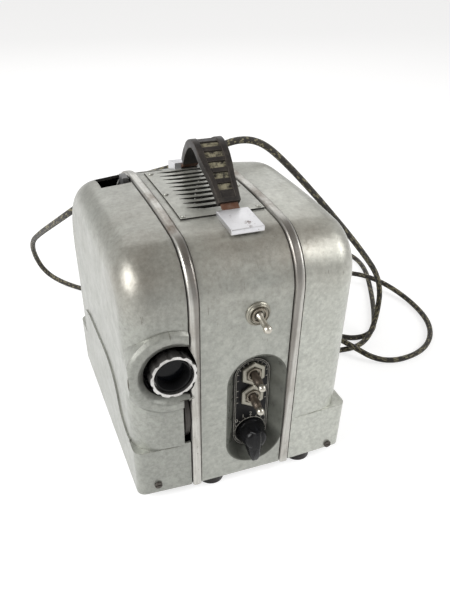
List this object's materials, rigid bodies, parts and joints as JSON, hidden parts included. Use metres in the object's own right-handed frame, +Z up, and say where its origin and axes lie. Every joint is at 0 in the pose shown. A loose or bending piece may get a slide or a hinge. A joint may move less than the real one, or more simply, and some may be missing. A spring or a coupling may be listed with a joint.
{
  "type": "movie projector",
  "caption": "Suitcase-shaped small-gauge film projector with side covers, trim bands, lens opening, recessed controls, louvred top, strap handle and braided cord.",
  "frame": {"origin": "middle of the footprint without the cord, on the surface it stands on", "axes": "+X to the right seen from the front, +Y from the controls to the rear, +Z up"},
  "size_m": [0.4344, 0.4404, 0.2548],
  "materials": {
    "enamel": "hammered grey enamel",
    "band_metal": "polished, worn",
    "bright": "bright plating, pitted",
    "ring_metal": "matte turned",
    "steel": "turned",
    "strip_steel": "rusty",
    "dark_screw": "darkened",
    "rubber": "matte",
    "black_plate": "satin black",
    "well_enamel": "glossy dark enamel",
    "bakelite": "gloss black",
    "black_metal": "black anodised",
    "optic": "clear",
    "mirror_glass": "silvered",
    "cord_braid": "braided cotton",
    "brass": "plain",
    "motor_paint": "dark enamel",
    "fan_metal": "pressed"
  },
  "bodies": {
    "base": {"center_casing": "enamel", "motor_cover": "enamel", "vent_panel": "enamel", "left_trim_band": "band_metal", "right_trim_band": "band_metal", "base_plate": "steel", "chassis_plate": "enamel", "foot_front_left": "rubber", "foot_front_right": "rubber", "foot_rear_left": "rubber", "foot_rear_right": "rubber", "vent_screws": "dark_screw", "motor_cover_screw": "dark_screw", "control_well": "well_enamel", "control_plate": "black_plate", "rheostat": "bakelite", "lens_mount": "black_metal", "film_gate": "bright", "mirror": "mirror_glass", "lamp": "optic", "lamp_house": "black_plate", "shutter_belt": "rubber", "drive_belt": "rubber", "motor": "motor_paint", "arm_catch": "bright", "handle_spring": "strip_steel", "handle_strap": "rubber", "handle_front_cap": "bright", "handle_rear_cap": "bright", "cord_gland": "rubber", "power_cord": "cord_braid", "cord_plug": "bakelite", "plug_pins": "brass", "upper_switch_body": "bakelite", "upper_switch_nut": "bright", "middle_switch_body": "bakelite", "middle_switch_nut": "bright", "lower_switch_body": "bakelite", "lower_switch_nut": "bright"},
    "film_cover": {"film_cover": "enamel", "film_cover_screw": "dark_screw"},
    "lens_barrel": {"lens_barrel": "black_metal", "lens_glass": "optic"},
    "lens_ring": {"lens_ring": "ring_metal"},
    "drive": {"main_shaft": "steel", "main_pulley": "fan_metal", "hand_wheel": "black_metal"},
    "sprocket": {"sprocket_gear": "brass", "film_sprocket": "bright"},
    "shutter": {"shutter_shaft": "steel", "shutter_disc": "black_metal"},
    "rotor": {"rotor_shaft": "steel", "fan": "fan_metal"},
    "takeup": {"takeup_spindle": "steel"},
    "supply_arm": {"supply_arm": "steel"},
    "reel": {"reel_spindle": "steel"},
    "upper_lever": {"upper_switch_lever": "bright"},
    "middle_lever": {"middle_switch_lever": "bright"},
    "lower_lever": {"lower_switch_lever": "bright"},
    "knob": {"speed_knob": "bakelite"}
  },
  "joints": [
    {"name": "film_cover_slide", "type": "slide", "parent": "base", "child": "film_cover", "axis": [-1, 0, 0], "range_m": [0, 0.06]},
    {"name": "focus_slide", "type": "slide", "parent": "base", "child": "lens_barrel", "axis": [0, -1, 0], "range_m": [-0.003, 0.003]},
    {"name": "focus_turn", "type": "hinge", "parent": "lens_barrel", "child": "lens_ring", "pos_m": [-0.06075, -0.105, 0.1278], "axis": [0, -1, 0], "range_deg": [-150, 150]},
    {"name": "drive_spin", "type": "hinge", "parent": "base", "child": "drive", "pos_m": [-0.04885, -0.075, 0.08], "axis": [1, 0, 0], "continuous": true},
    {"name": "sprocket_spin", "type": "hinge", "parent": "base", "child": "sprocket", "pos_m": [-0.04885, -0.0376, 0.0923], "axis": [1, 0, 0], "continuous": true},
    {"name": "shutter_spin", "type": "hinge", "parent": "base", "child": "shutter", "pos_m": [-0.03885, 0.017, 0.101], "axis": [1, 0, 0], "continuous": true},
    {"name": "rotor_spin", "type": "hinge", "parent": "base", "child": "rotor", "pos_m": [-0.00385, 0.045, 0.064], "axis": [1, 0, 0], "continuous": true},
    {"name": "takeup_spin", "type": "hinge", "parent": "base", "child": "takeup", "pos_m": [-0.06385, 0.043, 0.084], "axis": [1, 0, 0], "continuous": true},
    {"name": "supply_arm_lift", "type": "slide", "parent": "base", "child": "supply_arm", "axis": [0, 0, 1], "range_m": [0, 0.08]},
    {"name": "reel_spin", "type": "hinge", "parent": "supply_arm", "child": "reel", "pos_m": [-0.06385, 0.06, 0.191], "axis": [1, 0, 0], "continuous": true},
    {"name": "upper_switch_throw", "type": "hinge", "parent": "base", "child": "upper_lever", "pos_m": [0.00415, -0.105, 0.1645], "axis": [-1, 0, 0], "range_deg": [0, 22]},
    {"name": "middle_switch_throw", "type": "hinge", "parent": "base", "child": "middle_lever", "pos_m": [0.00705, -0.0951, 0.1051], "axis": [-1, 0, 0], "range_deg": [0, 16]},
    {"name": "lower_switch_throw", "type": "hinge", "parent": "base", "child": "lower_lever", "pos_m": [0.00705, -0.0951, 0.0832], "axis": [-1, 0, 0], "range_deg": [0, 24]},
    {"name": "speed_knob_turn", "type": "hinge", "parent": "base", "child": "knob", "pos_m": [0.00705, -0.105, 0.0455], "axis": [0, -1, 0], "range_deg": [0, 270]}
  ],
  "couplings": [
    {"joint": "sprocket_spin", "follows": "drive_spin", "ratio": -0.083333},
    {"joint": "shutter_spin", "follows": "drive_spin", "ratio": 1},
    {"joint": "rotor_spin", "follows": "drive_spin", "ratio": 2.5},
    {"joint": "focus_turn", "follows": "focus_slide", "rad_per_m": 872.66}
  ]
}
